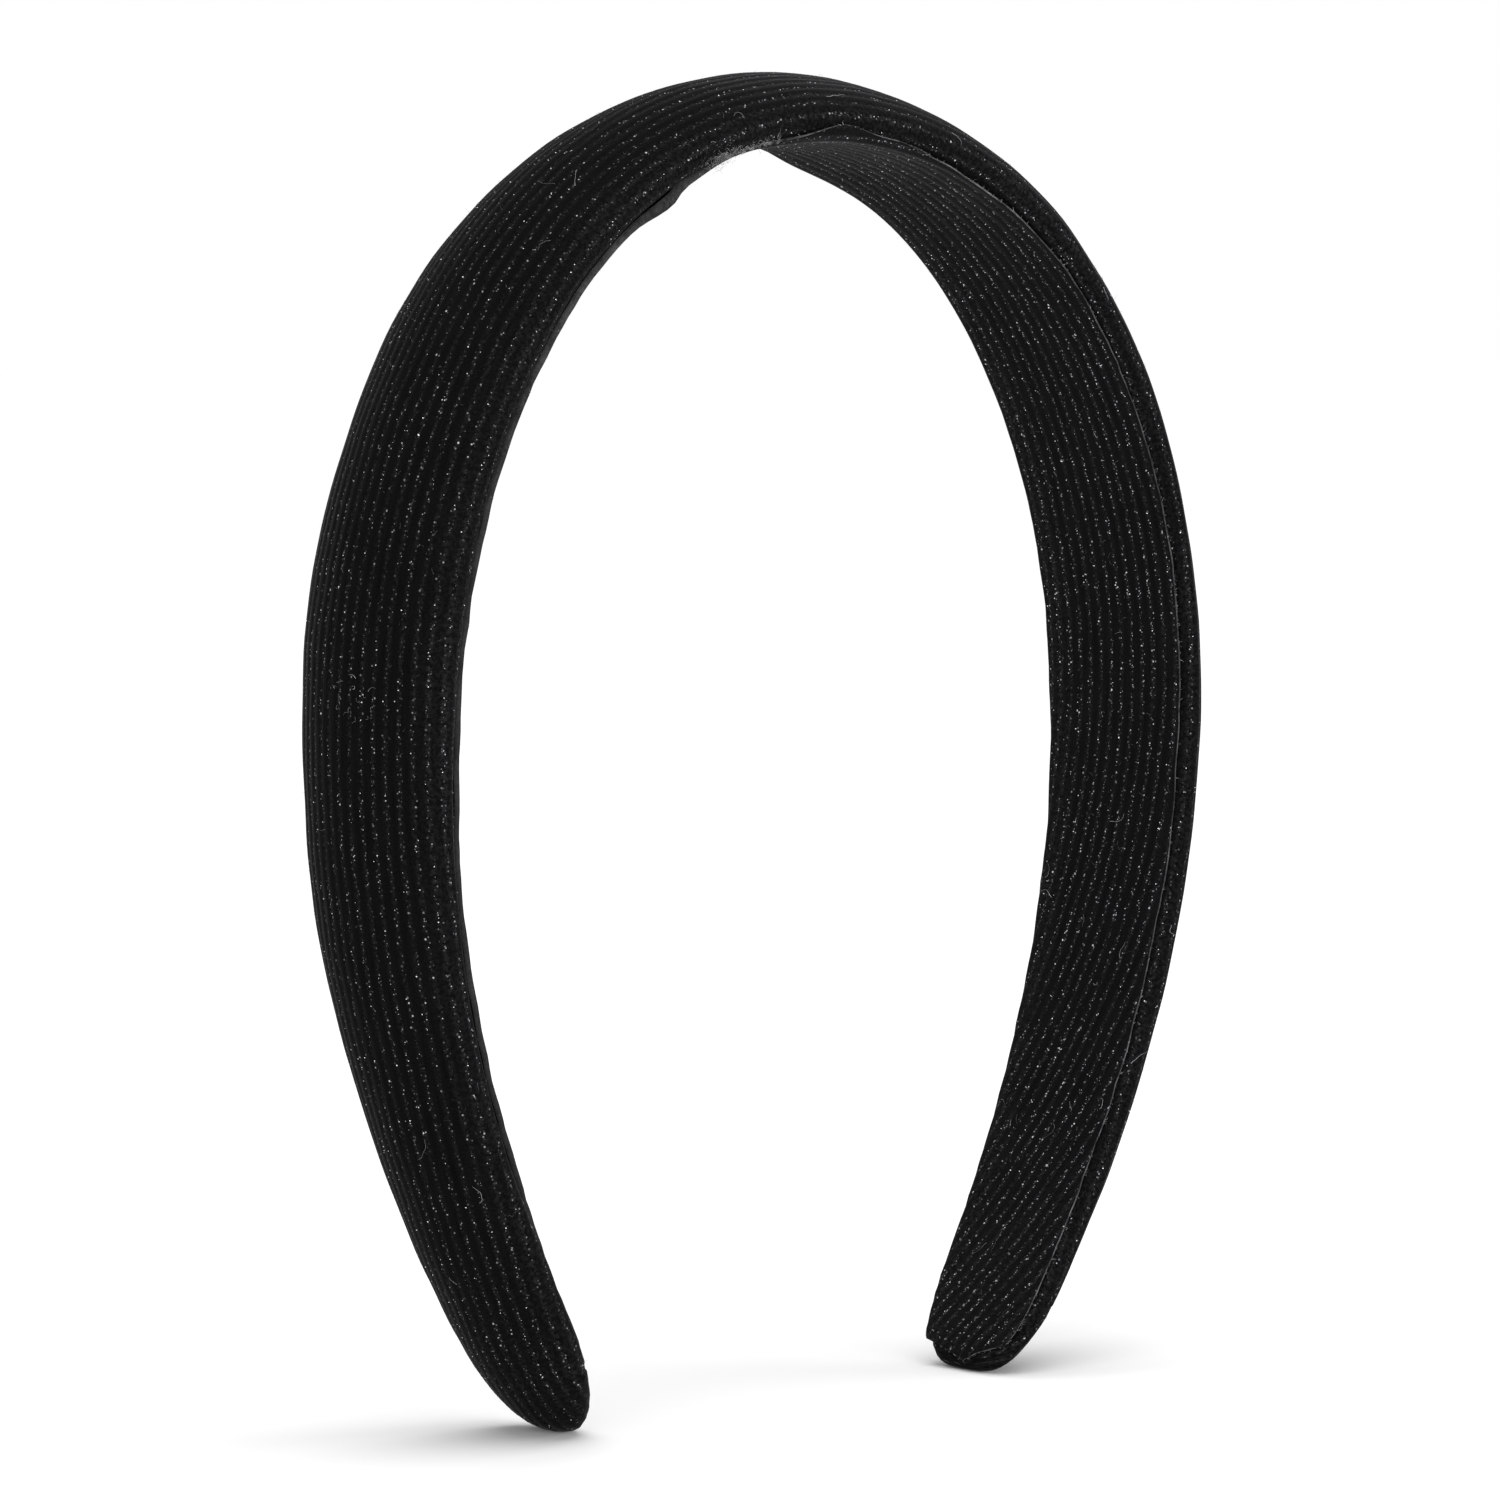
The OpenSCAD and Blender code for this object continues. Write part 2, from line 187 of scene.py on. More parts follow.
class Hoop:
    """The hoop's line and its cross sections, in millimetres."""

    def __init__(self, settings, cloth):
        self.radii = (settings.crown_r, settings.shoulder_r, settings.side_r, settings.tip_r)
        self.set = settings
        self.cloth_t = cloth.thickness
        self.under_v = -(BEAD + self.cloth_t)
        self.lining_v = self.under_v - FILM - self.cloth_t
        self.starts = [(0.0, 0.0, 0.0, 0.0)]
        for deg, r in zip(ARC_DEG, self.radii):
            s, p, x, z = self.starts[-1]
            q = p + math.radians(deg)
            self.starts.append((s + r * math.radians(deg), q,
                                x + r * (math.sin(q) - math.sin(p)), z - r * (math.cos(p) - math.cos(q))))
        self.half = self.starts[4][0]
        self.lift = SEAT_Z - self.lining_v

    def line(self, s):
        """Across, height and slope of the band's inner face at s."""
        m = min(abs(s), self.half)
        i = max(k for k in range(4) if m >= self.starts[k][0])
        s0, p0, x0, z0 = self.starts[i]
        r = self.radii[i]
        p = p0 + (m - s0) / r
        side = 1.0 if s >= 0 else -1.0
        across = x0 + r * (math.sin(p) - math.sin(p0))
        return side * across, z0 - r * (math.cos(p0) - math.cos(p)), side * p

    def place(self, s, y, v):
        """A point in the scene; near the floor the soft tips flatten."""
        x, z, p = self.line(s)
        height = z + math.cos(p) * v + self.lift
        if height < SOFT_FROM:
            height = SOFT_FROM * (max(height + TIP_SQUASH, 0.0) / (SOFT_FROM + TIP_SQUASH)) ** (
                (SOFT_FROM + TIP_SQUASH) / SOFT_FROM)
        return Vector(((x + math.sin(p) * v) * MM, y * MM, height * MM))

    def axes(self, s):
        """Along the hoop, and straight out from the head."""
        p = self.line(s)[2]
        return Vector((math.cos(p), 0, -math.sin(p))), Vector((math.sin(p), 0, math.cos(p)))

    def wide(self, s):
        share = min(abs(s) / self.half, 1.0)
        return self.set.tip_w + (self.set.crown_w - self.set.tip_w) * (1 - share ** TAPER)

    def high(self, s):
        share = min(abs(s) / self.half, 1.0)
        return self.set.tip_h + (self.set.crown_h - self.set.tip_h) * (1 - share)

    def into_end(self, s, run):
        return min(max((abs(s) - (self.half - run)) / run, 0.0), 1.0)

    def plan(self, s, side=1):
        """Share of the width left at s; the -X tip is rounder than the +X one, most of all at its front."""
        power, run = (END_POWER, END_RUN) if s > 0 else (ROUND_END_POWER, ROUND_END_RUN)
        if s < 0 and side < 0:
            power = FRONT_END_POWER
        return (1 - self.into_end(s, run) ** power) ** (1 / power)

    def edge_y(self, s, side):
        """Widest line of the cover on the front (-1) or back (1): the cloth is fuller in places."""
        if side < 0:
            extra = swell(s, FULL_ARM_FRONT) + swell(s, FULL_TIP_FRONT)
        else:
            extra = swell(s, FULL_ARM_BACK)
        return (self.wide(s) / 2 + extra) * self.plan(s, side)

    def roll_w(self, s, side):
        return ROLL_W - (swell(s, THIN_ROLL) if side < 0 else 0.0)

    def cover_half(self, s, side):
        """Half of the cover's section as points from the top of the dome to the turned edge."""
        a = max(self.edge_y(s, side), 0.0)
        up = math.sqrt(max(1 - self.into_end(s, END_RUN) ** 2, 0))
        low = math.sqrt(max(1 - self.into_end(s, UNDER_RUN) ** 2, 0))
        roll = min(self.roll_w(s, side), a * 0.45)
        edge = self.wide(s) / 2 - TURN_TIP - (TURN_CROWN - TURN_TIP) * (1 - abs(s) / self.half)
        edge = 0.0 if abs(s) > self.half - TURN_CLOSED else max(min(edge, a * 0.4), 0.0)
        t = np.radians(np.linspace(90, 0, 60))
        y = a * np.cos(t) ** (2 / DOME)
        v = WIDEST_V + (self.high(s) - WIDEST_V) * np.sin(t) ** (2 / DOME) * up
        y[0] = 0.0
        t = np.radians(np.linspace(0, 90, 16)[1:])
        y = np.concatenate([y, a - roll + roll * np.cos(t), [min(edge, a - roll)]])
        floor_v = WIDEST_V - (WIDEST_V - self.under_v) * low
        v = np.concatenate([v, WIDEST_V - (WIDEST_V - self.under_v) * np.sin(t) * low, [floor_v]])
        return y, v

    def under_half(self, s, gap, side):
        """Half of the inner face a gap away from the cover: nearly flat, its edge starting to turn up."""
        a = max(self.edge_y(s, side), 0.5)
        low = math.sqrt(max(1 - self.into_end(s, UNDER_RUN) ** 2, 0))
        wrapped = bump(s, 2.0, 20.0) if side < 0 else 0.0
        soft = 2.0 if side > 0 else 0.0
        roll = min(0.7 + 1.3 * wrapped + soft, a * 0.45)
        deep = (WIDEST_V - self.under_v) * (0.45 + 0.55 * wrapped)
        floor_v = WIDEST_V - (WIDEST_V - self.under_v + gap) * low
        t = np.radians(np.linspace(0, 80, 24))
        y = np.concatenate([[0.0], a - roll + (roll + gap) * np.sin(t)])
        v = np.concatenate([[floor_v], floor_v + (deep + gap) * (1 - np.cos(t)) * low])
        return y, v


def along_path(y, v, lengths):
    """Points and outward normals at the given lengths along a path of points."""
    step = np.hypot(np.diff(y), np.diff(v))
    run = np.concatenate([[0.0], np.cumsum(step)])
    lengths = np.minimum(lengths, run[-1])
    py, pv = np.interp(lengths, run, y), np.interp(lengths, run, v)
    e = 0.15  # half the length a direction is taken over
    ahead, behind = np.minimum(lengths + e, run[-1]), np.maximum(lengths - e, 0)
    dy = np.interp(ahead, run, y) - np.interp(behind, run, y)
    dv = np.interp(ahead, run, v) - np.interp(behind, run, v)
    size = np.maximum(np.hypot(dy, dv), 1e-9)
    return py, pv, -dv / size, dy / size


def ease(x):
    x = min(max(x, 0.0), 1.0)
    return x * x * (3 - 2 * x)


def bump(x, centre, spread):
    return math.exp(-((x - centre) / spread) ** 2)


def swell(s, place):
    much, centre, spread = place
    return much * bump(s, centre, spread)


def cover_drift(s):
    """How far the cover's ribs have run towards the back edge by s: the cloth was cut straight."""
    k = max(abs(s) - 120.0, 0.0)
    return 0.0011 * k * k


def lining_drift(s):
    """The lining was cut slightly off the grain, so its ribs cross it towards the tips."""
    k = max(abs(s) - 92.0, 0.0)
    return (0.0026 * k * k) * (1 if s > 0 else -1)


def groove(u, pitch, depth):
    """Depth of the groove at cloth position u: broad ribs, narrow grooves."""
    c = 0.5 + 0.5 * math.cos(2 * math.pi * u / pitch)
    return depth * c ** 2


def soft_noise(x, y, size, seed):
    return noise.noise(Vector((x / size, y / size, seed)))


# ---------------------------------------------------------------- node helpers

def preset(node, values):
    for name, value in values.items():
        node.inputs[name].default_value = value


def maths(tree, op, a, b=None, c=None, clamp=False):
    node = tree.nodes.new("ShaderNodeMath")
    node.operation = op
    node.use_clamp = clamp
    for slot, value in enumerate((a, b, c)):
        if value is None:
            continue
        if isinstance(value, (int, float)):
            node.inputs[slot].default_value = value
        else:
            tree.links.new(value, node.inputs[slot])
    return node.outputs[0]


def times(tree, a, b, clamp=False):
    return maths(tree, "MULTIPLY", a, b, clamp=clamp)


def clamped(tree, value, gain, offset):
    """value * gain + offset, held between 0 and 1."""
    return maths(tree, "MULTIPLY_ADD", value, gain, offset, clamp=True)


def mix_colour(tree, share, a, b):
    node = tree.nodes.new("ShaderNodeMix")
    node.data_type = "RGBA"
    for slot, value in (("Factor", share), ("A", a), ("B", b)):
        socket = next(i for i in node.inputs
                      if i.name == slot and i.enabled and (i.type == "RGBA" or slot == "Factor"))
        if isinstance(value, (int, float)):
            socket.default_value = value
        elif isinstance(value, (tuple, list)):
            socket.default_value = (*value[:3], 1.0)
        else:
            tree.links.new(value, socket)
    return next(o for o in node.outputs if o.type == "RGBA" and o.enabled)


def new_group(name, inputs, outputs):
    """A node group whose inputs and outputs are all numbers."""
    group = bpy.data.node_groups.new(name, "ShaderNodeTree")
    for label, value in inputs.items():
        group.interface.new_socket(label, in_out="INPUT", socket_type="NodeSocketFloat").default_value = value
    for label in outputs:
        group.interface.new_socket(label, in_out="OUTPUT", socket_type="NodeSocketFloat")
    return group, group.nodes.new("NodeGroupInput").outputs, group.nodes.new("NodeGroupOutput").inputs


def speck_rows_group():
    """Round specks strung along the grooves, one chance in each short cell of a groove."""
    name = "Speck rows"
    if name in bpy.data.node_groups:
        return bpy.data.node_groups[name]
    group, g_in, g_out = new_group(
        name, {"Across": 0.0, "Along": 0.0, "Pitch": 1.85, "Spacing": 0.9, "Radius": 0.15,
               "Scatter": 0.3, "Density": 0.6, "Seed": 0.0}, ("Mask", "Level"))
    t = group
    turn = maths(t, "DIVIDE", g_in["Across"], g_in["Pitch"])
    row = maths(t, "ROUND", turn)
    off = times(t, maths(t, "SUBTRACT", turn, row), g_in["Pitch"])
    shift = times(t, maths(t, "SINE", times(t, row, 12.9898)), 7.31)
    cell = maths(t, "ADD", maths(t, "DIVIDE", g_in["Along"], g_in["Spacing"]), shift)
    number = maths(t, "FLOOR", cell)
    inside = maths(t, "SUBTRACT", cell, number)
    key = t.nodes.new("ShaderNodeCombineXYZ")
    t.links.new(row, key.inputs[0])
    t.links.new(number, key.inputs[1])
    t.links.new(g_in["Seed"], key.inputs[2])
    chance = t.nodes.new("ShaderNodeTexWhiteNoise")
    chance.noise_dimensions = "3D"
    t.links.new(key.outputs[0], chance.inputs["Vector"])
    parts = t.nodes.new("ShaderNodeSeparateColor")
    t.links.new(chance.outputs["Color"], parts.inputs[0])
    centre = maths(t, "MULTIPLY_ADD", parts.outputs[0], 0.5, 0.25)
    aside = times(t, maths(t, "SUBTRACT", parts.outputs[1], 0.5), g_in["Scatter"])
    radius = times(t, g_in["Radius"], maths(t, "MULTIPLY_ADD", parts.outputs[2], 0.9, 0.45))
    d_along = times(t, maths(t, "SUBTRACT", inside, centre), g_in["Spacing"])
    d_across = maths(t, "SUBTRACT", off, aside)
    far = maths(t, "SQRT", maths(t, "ADD", times(t, d_along, d_along), times(t, d_across, d_across)))
    disc = maths(t, "SUBTRACT", 1.0, maths(t, "DIVIDE", far, radius), clamp=True)
    disc = times(t, disc, 2.2, clamp=True)
    shown = maths(t, "LESS_THAN", chance.outputs["Value"], g_in["Density"])
    t.links.new(times(t, disc, shown), g_out["Mask"])
    level = maths(t, "DIVIDE", chance.outputs["Value"], g_in["Density"], clamp=True)
    t.links.new(maths(t, "POWER", level, 2.0), g_out["Level"])
    return group


def groove_group():
    """1 in the middle of each groove, falling to 0 on the rib."""
    name = "Groove"
    if name in bpy.data.node_groups:
        return bpy.data.node_groups[name]
    group, g_in, g_out = new_group(name, {"Across": 0.0, "Pitch": 1.85, "Width": 0.3}, ("Mask",))
    turn = maths(group, "DIVIDE", g_in["Across"], g_in["Pitch"])
    off = times(group, maths(group, "SUBTRACT", turn, maths(group, "ROUND", turn)), g_in["Pitch"])
    x = maths(group, "DIVIDE", off, g_in["Width"])
    falling = maths(group, "EXPONENT", times(group, times(group, x, x), -1.0))
    group.links.new(falling, g_out["Mask"])
    return group


def material(name, rough=0.8):
    m = bpy.data.materials.new(name)
    m.use_nodes = True
    shader = m.node_tree.nodes["Principled BSDF"]
    shader.inputs["Roughness"].default_value = rough
    return m, m.node_tree, shader


def cloth_place(tree):
    """The cloth's own millimetres across and along, from its UV map in metres."""
    uv = tree.nodes.new("ShaderNodeUVMap")
    uv.uv_map = "cloth"
    split = tree.nodes.new("ShaderNodeSeparateXYZ")
    tree.links.new(uv.outputs[0], split.inputs[0])
    return (times(tree, split.outputs[0], 1 / MM),
            times(tree, split.outputs[1], 1 / MM), uv.outputs[0])


def grain(tree, vector, scale, detail=3.0, rough=0.6):
    node = tree.nodes.new("ShaderNodeTexNoise")
    preset(node, {"Scale": scale, "Detail": detail, "Roughness": rough})
    tree.links.new(vector, node.inputs["Vector"])
    return node.outputs[0]


def relief(tree, shader, height, strength, depth):
    """Fine relief on a finish, its depth in metres."""
    lift = tree.nodes.new("ShaderNodeBump")
    preset(lift, {"Strength": strength, "Distance": depth})
    tree.links.new(height, lift.inputs["Height"])
    tree.links.new(lift.outputs[0], shader.inputs["Normal"])


def object_place(tree):
    return tree.nodes.new("ShaderNodeTexCoord").outputs["Object"]


def noted(tree, name):
    """A number kept on the mesh's vertices."""
    node = tree.nodes.new("ShaderNodeAttribute")
    node.attribute_name = name
    return node.outputs["Fac"]


def velvet(name, cloth, seed, nap, speck_share, bright_share, fades):
    """Deep pile in ribs, a greyer knitted ground in the grooves, and specks of glitter yarn there whose
    brightness is partly painted glints; a grey haze over the pile is partly pile wear, partly painted sheen.
    """
    m, tree, shader = material(name, 0.9)
    across, along, uv = cloth_place(tree)
    # the rows wander a little, as a knit does
    sway = times(tree, maths(tree, "SUBTRACT", grain(tree, uv, 55.0, 1.0), 0.5), 0.45)
    across = maths(tree, "ADD", across, sway)
    pit = tree.nodes.new("ShaderNodeGroup")
    pit.node_tree = groove_group()
    preset(pit, {"Pitch": cloth.pitch, "Width": 0.33})
    tree.links.new(across, pit.inputs["Across"])
    fuzz = grain(tree, uv, 1800.0, 3.0, 0.75)
    fine = grain(tree, uv, 5200.0, 2.0, 0.6)
    streak_map = tree.nodes.new("ShaderNodeMapping")
    streak_map.inputs["Scale"].default_value = (1500.0, 120.0, 1.0)
    tree.links.new(uv, streak_map.inputs[0])
    streak = grain(tree, streak_map.outputs[0], 1.0, 2.0)
    cloud = grain(tree, uv, 90.0, 2.0)
    ground = times(tree, pit.outputs[0],
                   clamped(tree, fuzz, 5.0, -2.1))
    ground = times(tree, ground, maths(tree, "MULTIPLY_ADD", cloud, 1.2, 0.3))
    if fades:
        ground = times(tree, ground, noted(tree, "rib"))
    tuft = maths(tree, "ADD", fine, times(tree, streak, 0.5))
    tuft = clamped(tree, tuft, 2.2, -1.1)
    pile = mix_colour(tree, tuft, tuple(c * 0.5 * nap for c in cloth.pile),
                      tuple(c * 1.9 * nap for c in cloth.pile))
    # Grey haze on the pile: partly pile wear, partly painted sheen at edges, tips and crown.
    wear_and_sheen = times(tree, noted(tree, "wear_and_sheen"), clamped(tree, fuzz, 6.0, -2.7))
    wear_and_sheen = times(tree, wear_and_sheen, maths(tree, "MULTIPLY_ADD", cloud, 1.4, 0.2))
    wear_and_sheen = times(tree, wear_and_sheen, maths(tree, "MULTIPLY_ADD", pit.outputs[0], 0.75, 0.35))
    pile = mix_colour(tree, wear_and_sheen, pile, tuple(cloth.rubbed_and_sheen))
    colour = mix_colour(tree, ground, pile, tuple(c * nap for c in cloth.ground))
    # Specks of pale glitter yarn; their random brightness also stands in for glints, as painted highlights.
    for spacing, radius, scatter, density, offset, share in (
            (0.5, 0.12, 0.6, 0.8, 0.0, speck_share * 0.22),
            (0.7, 0.11, 0.85, 0.6, 31.0, speck_share * 0.6),
            (1.5, 0.11, 0.5, 0.5, 77.0, bright_share)):
        rows = tree.nodes.new("ShaderNodeGroup")
        rows.node_tree = speck_rows_group()
        preset(rows, {"Pitch": cloth.pitch, "Spacing": spacing, "Radius": radius, "Scatter": scatter,
                      "Density": density, "Seed": seed + offset})
        tree.links.new(across, rows.inputs["Across"])
        tree.links.new(along, rows.inputs["Along"])
        strength = times(tree, rows.outputs["Mask"],
                         times(tree, rows.outputs["Level"], share), clamp=True)
        colour = mix_colour(tree, strength, colour, tuple(cloth.speck_and_glint))
    tree.links.new(colour, shader.inputs["Base Color"])
    preset(shader, {"Specular IOR Level": 0.015, "Sheen Weight": 0.09, "Sheen Roughness": 0.3,
                    "Sheen Tint": (0.75, 0.75, 0.78, 1.0)})
    relief(tree, shader, maths(tree, "ADD", fuzz, times(tree, streak, 0.6)), 0.55, PILE_RELIEF)
    return m


def raw_edge_material(cloth):
    """The pale knitted backing that shows where the lining was cut."""
    m, tree, shader = material("Cut velvet edge", 0.95)
    place = object_place(tree)
    fuzz = grain(tree, place, 1900.0, 3.0, 0.75)
    patch = grain(tree, place, 260.0, 2.0)
    share = clamped(tree, times(tree, fuzz, patch), 4.2, -0.55)
    # The pale share also holds light painted onto the cut edge near the crown, where it lies in shade of the
    # gap.
    share = times(tree, share, noted(tree, "pale"))
    colour = mix_colour(tree, share, (0.008, 0.008, 0.008), tuple(cloth.raw_edge))
    tree.links.new(colour, shader.inputs["Base Color"])
    shader.inputs["Specular IOR Level"].default_value = 0.15
    relief(tree, shader, fuzz, 0.7, PILE_RELIEF)
    return m


def flake_material():
    """Small bits of bright film; a slow noise paints some places on the hoop bright and others dim, as
    painted glints.
    """
    m, tree, shader = material("Glitter film", 0.35)
    patch = grain(tree, object_place(tree), 900.0, 1.0)
    share = clamped(tree, patch, 3.2, -1.1)
    colour = mix_colour(tree, share, (0.16, 0.16, 0.165), (0.95, 0.95, 0.96))
    tree.links.new(colour, shader.inputs["Base Color"])
    tree.links.new(maths(tree, "MULTIPLY_ADD", patch, 0.3, 0.2), shader.inputs["Roughness"])
    shader.inputs["Metallic"].default_value = 0.25
    return m


def fibre_material(name, dark, light):
    """Loose or backing threads, from a dark to a light colour."""
    m, tree, shader = material(name, 0.7)
    patch = grain(tree, object_place(tree), 420.0, 2.0)
    colour = mix_colour(tree, clamped(tree, patch, 2.4, -0.7), dark, light)
    tree.links.new(colour, shader.inputs["Base Color"])
    return m


def solid_material(name, dark, light, scale, rough, depth):
    """Moulded plastic, adhesive or foam: a colour with a slow variation and a fine surface grain."""
    m, tree, shader = material(name, rough)
    place = object_place(tree)
    slow = grain(tree, place, scale * 0.12, 2.0)
    fine = grain(tree, place, scale, 4.0, 0.65)
    tree.links.new(mix_colour(tree, slow, dark, light), shader.inputs["Base Color"])
    tree.links.new(maths(tree, "MULTIPLY_ADD", fine, 0.3, rough - 0.15), shader.inputs["Roughness"])
    relief(tree, shader, fine, 0.6, depth)
    return m


# ---------------------------------------------------------------- mesh helpers

def to_object(bm, name, materials):
    mesh = bpy.data.meshes.new(name)
    bm.to_mesh(mesh)
    bm.free()
    for m in materials:
        mesh.materials.append(m)
    obj = bpy.data.objects.new(name, mesh)
    bpy.context.scene.collection.objects.link(obj)
    return obj


def flat_cloth(columns, rows):
    """A flat sheet of faces and, for each vertex, its column and row."""
    bm = bmesh.new()
    bmesh.ops.create_grid(bm, x_segments=columns, y_segments=rows, size=1.0)
    where = {}
    for vert in bm.verts:
        where[vert.index] = (round((vert.co.x + 1) / 2 * columns), round((vert.co.y + 1) / 2 * rows))
    return bm, where


def lay_cloth(bm, where, points, cloth_uv):
    """Moves a flat sheet's vertices to their places and writes the cloth's own UV map."""
    layer = bm.loops.layers.uv.new("cloth")
    for face in bm.faces:
        face.smooth = True
        for loop in face.loops:
            loop[layer].uv = cloth_uv[where[loop.vert.index]]
    for vert in bm.verts:
        vert.co = points[where[vert.index]]


def note_value(bm, where, name, values):
    """Keeps one number per vertex for the material to read."""
    layer = bm.verts.layers.float.new(name)
    for vert in bm.verts:
        vert[layer] = values[where[vert.index]]


def face_outward(bm, test_point, direction):
    """Merges meeting edges, then turns all faces the way that the face nearest a point should look."""
    bmesh.ops.remove_doubles(bm, verts=bm.verts, dist=MERGE)
    bmesh.ops.recalc_face_normals(bm, faces=bm.faces)
    near = min(bm.faces, key=lambda f: (f.calc_center_median() - test_point).length)
    if near.normal.dot(direction) < 0:
        bmesh.ops.reverse_faces(bm, faces=bm.faces)


def wall(obj, thickness, rim_slot, thin_edges=None):
    """Gives a sheet its thickness, thinner where the named vertex group is low."""
    mod = obj.modifiers.new("Cloth thickness", "SOLIDIFY")
    if thin_edges:
        obj.vertex_groups.new(name=thin_edges)
        mod.vertex_group = thin_edges
    mod.thickness = thickness * MM
    mod.offset = -1.0
    mod.use_rim = True
    mod.use_quality_normals = True
    mod.material_offset_rim = rim_slot
    return mod


def stations(reach, step, end_rows):
    """Row positions: even over the arch, closer towards each round end."""
    body = reach - END_RUN
    count = int(body / step)
    half = [body * k / count for k in range(count + 1)]
    for k in range(1, end_rows + 1):
        half.append(body + END_RUN * math.sin(math.pi / 2 * k / end_rows) ** (2 / END_POWER))
    return [-s for s in reversed(half[1:])] + half


def in_mm(group):
    """A group's settings as plain values, its lengths in the millimetres the working functions use."""
    values = {}
    for key in group.__annotations__:
        value = getattr(group, key)
        values[key] = value / MM if group.bl_rna.properties[key].unit == "LENGTH" else value
    return SimpleNamespace(**values)


def scene_settings(context):
    scene = context.scene
    return in_mm(scene.hoop), in_mm(scene.cloth), in_mm(scene.trim)


# ---------------------------------------------------------------- surfaces with their glitter

def cover_wave(s, u):
    """Slow unevenness of the cover over the foam."""
    return 0.22 * soft_noise(s, u, 16.0, 3.3) + 0.1 * soft_noise(s, u, 6.0, 8.1)


def cover_point(hoop, cloth, s, u):
    """Point and outward direction on the cover at s along and u across from the top of the dome."""
    side = 1 if u >= 0 else -1
    y, v = hoop.cover_half(s, side)
    py, pv, ny, nv = along_path(y, v, np.array([abs(u)]))
    drop = groove(u - cover_drift(s), cloth.pitch, cloth.groove)
    along, out = hoop.axes(s)
    normal = Vector((0, side * ny[0], 0)) + out * nv[0]
    shift = cover_wave(s, u) - drop
    return hoop.place(s, side * (py[0] + ny[0] * shift), pv[0] + nv[0] * shift), normal, along


def lining_reach(hoop, s, side):
    """Half width of the lining towards the front (-1) or the back (1), along the cloth."""
    half = hoop.edge_y(s, side) - LINING_INSET
    ragged = 0.3 * soft_noise(s, side * 9.0, 5.0, 1.7) + 0.12 * soft_noise(s, side * 9.0, 1.5, 5.1)
    if side < 0:
        half += swell(s, WRAP_CROWN) + swell(s, WRAP_MIDDLE) + 1.1 * bump(s, hoop.half - 3.0, 7.0)
        half -= 1.6 * ease((-s - 150.0) / 22.0)
    else:
        half += swell(s, LINING_ARM_BACK) + 1.3 * bump(s, hoop.half - 1.0, 3.2)
    return max(half, 0.8) + ragged


def edge_pale_and_painted_light(s):
    """How pale the lining's cut edge looks at s: threadbare towards +X, still furry on the -X arm; the bumps
    near the crown paint light onto the edge where it lies in shade of the gap.
    """
    worn_and_painted_light = 0.34 + 0.4 * ease((s - 115.0) / 30.0) + 0.4 * bump(s, 20.0, 16.0) + 0.3 * bump(s, -8.0, 10.0)
    patchy = 0.75 + 0.5 * soft_noise(s, 0.0, 3.0, 6.6)
    return 0.08 + (0.92 * worn_and_painted_light * patchy) * ease((s + 24.0) / 20.0) + 0.12 * bump(s, -42.0, 26.0)


def cover_wear_and_sheen(hoop, s, share):
    """How much grey haze the cover's pile gets, partly pile wear and partly painted sheen: at its front edge,
    under the crown's top and round the tips.
    """
    edge = 0.75 * bump(share, -0.64, 0.14) + 0.3 * bump(share, 0.62, 0.13)
    tip = 0.5 * ease((abs(s) - 158.0) / 30.0)
    crown = 0.15 * bump(s, 0.0, 45.0)
    return min(edge + tip + crown, 1.0)


def lining_wear_and_sheen(hoop, s, c):
    """How much grey haze the lining's pile gets, partly pile wear and partly painted sheen: most along its
    back edge, and where it ends.
    """
    edge = ease((c - 0.5) / 0.4) + 0.25 * ease((-c - 0.75) / 0.25)
    tip = 0.4 * ease((abs(s) - 150.0) / 30.0)
    return min(edge + tip, 1.0)


def lining_sag(s, c):
    """How far the lining stands off towards the head: c runs -1 at the front edge to 1 at the back."""
    front, back = max(-c, 0.0) ** 3, max(c, 0.0) ** 3
    sag = front * (0.75 * bump(s, -29.5, 4.2) * ease((-25.6 - s) / 2.2) - 0.75 * bump(s, -16.0, 7.0))
    sag -= front * 0.42 * ease((s - 25.0) / 20.0)
    sag += back * (0.65 * bump(s, 16.0, 11.0) - 0.75 * bump(s, 9.0, 4.5) + 0.1 * bump(s, 110.0, 60.0))
    return sag + 0.07 * (1 + noise.noise(Vector((s / 9.0, c * 1.5, 4.4))))


def lining_point(hoop, cloth, s, c, deep=True):
    """Point, outward direction and cloth position of the lining at s along and c across."""
    back = LINING_POINT * hoop.into_end(s + LINING_SHORT * (1 if s > 0 else -1), END_RUN) ** 2
    lean = (c - POINT_AT) / (1 - POINT_AT) * 0.75 if c > POINT_AT else (POINT_AT - c) / (1 + POINT_AT)
    at = s - back * lean if s > 0 else s + back * abs(c)
    side = 1 if c >= 0 else -1
    w = abs(c) * lining_reach(hoop, at, side)
    y, v = hoop.under_half(at, FILM + cloth.thickness, side)
    py, pv, ny, nv = along_path(y, v, np.array([w]))
    ny, nv = -ny, -nv
    u = side * w - lining_drift(at)
    shift = lining_sag(at, c)
    if deep:
        shift -= groove(u, cloth.pitch, cloth.groove * 0.9)
    along, out = hoop.axes(at)
    normal = Vector((0, side * ny[0], 0)) + out * nv[0]
    return hoop.place(at, side * (py[0] + ny[0] * shift), pv[0] + nv[0] * shift), normal, along, u, at


# ---------------------------------------------------------------- operators

